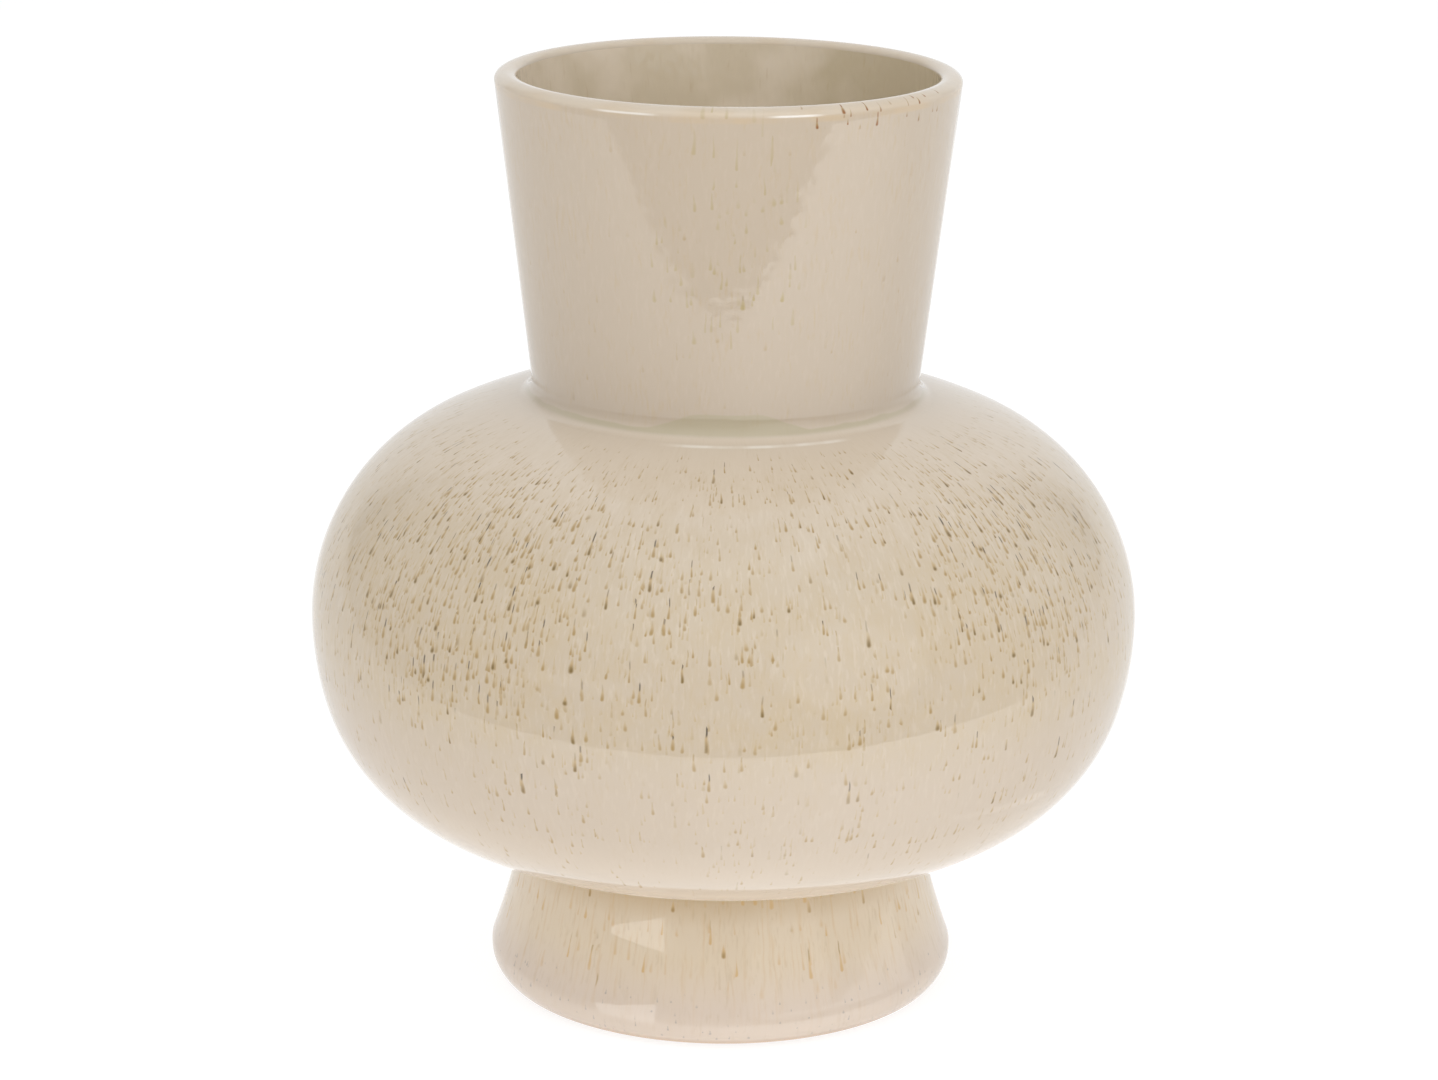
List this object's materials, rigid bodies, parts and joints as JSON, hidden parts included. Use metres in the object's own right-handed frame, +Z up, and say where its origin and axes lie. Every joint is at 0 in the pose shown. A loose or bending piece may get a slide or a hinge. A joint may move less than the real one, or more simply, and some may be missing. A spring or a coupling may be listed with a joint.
{
  "type": "stoneware vase",
  "caption": "Round-bellied stoneware vase with a flared hollow foot and a tapered open neck, for flowers or display.",
  "frame": {"origin": "centre of the foot ring's underside, on the surface the vase stands on", "axes": "+Z up along the axis the vase was thrown on; X and Y across it, all alike because the vase is round"},
  "size_m": [0.2, 0.2, 0.2246],
  "materials": {
    "stoneware_clay": "bare fired stoneware, fine sandy grain, warm tan",
    "slip": "fired joining slip, smooth, a little darker than the clay",
    "speckled_glaze": "glossy cream glaze with ochre clouding and fine brown and rust speckles that run down the wall",
    "liner_glaze": "glossy greige glaze, faintly streaked",
    "base_glaze": "thin glossy cream glaze in the hollow of the foot"
  },
  "bodies": {
    "root": {"foot": "stoneware_clay", "lower_bowl": "stoneware_clay", "shoulder_bowl": "stoneware_clay", "neck": "stoneware_clay", "foot_slip": "slip", "belly_slip": "slip", "neck_slip": "slip", "outer_glaze": "speckled_glaze", "liner_glaze": "liner_glaze", "base_glaze": "base_glaze"}
  },
  "joints": []
}
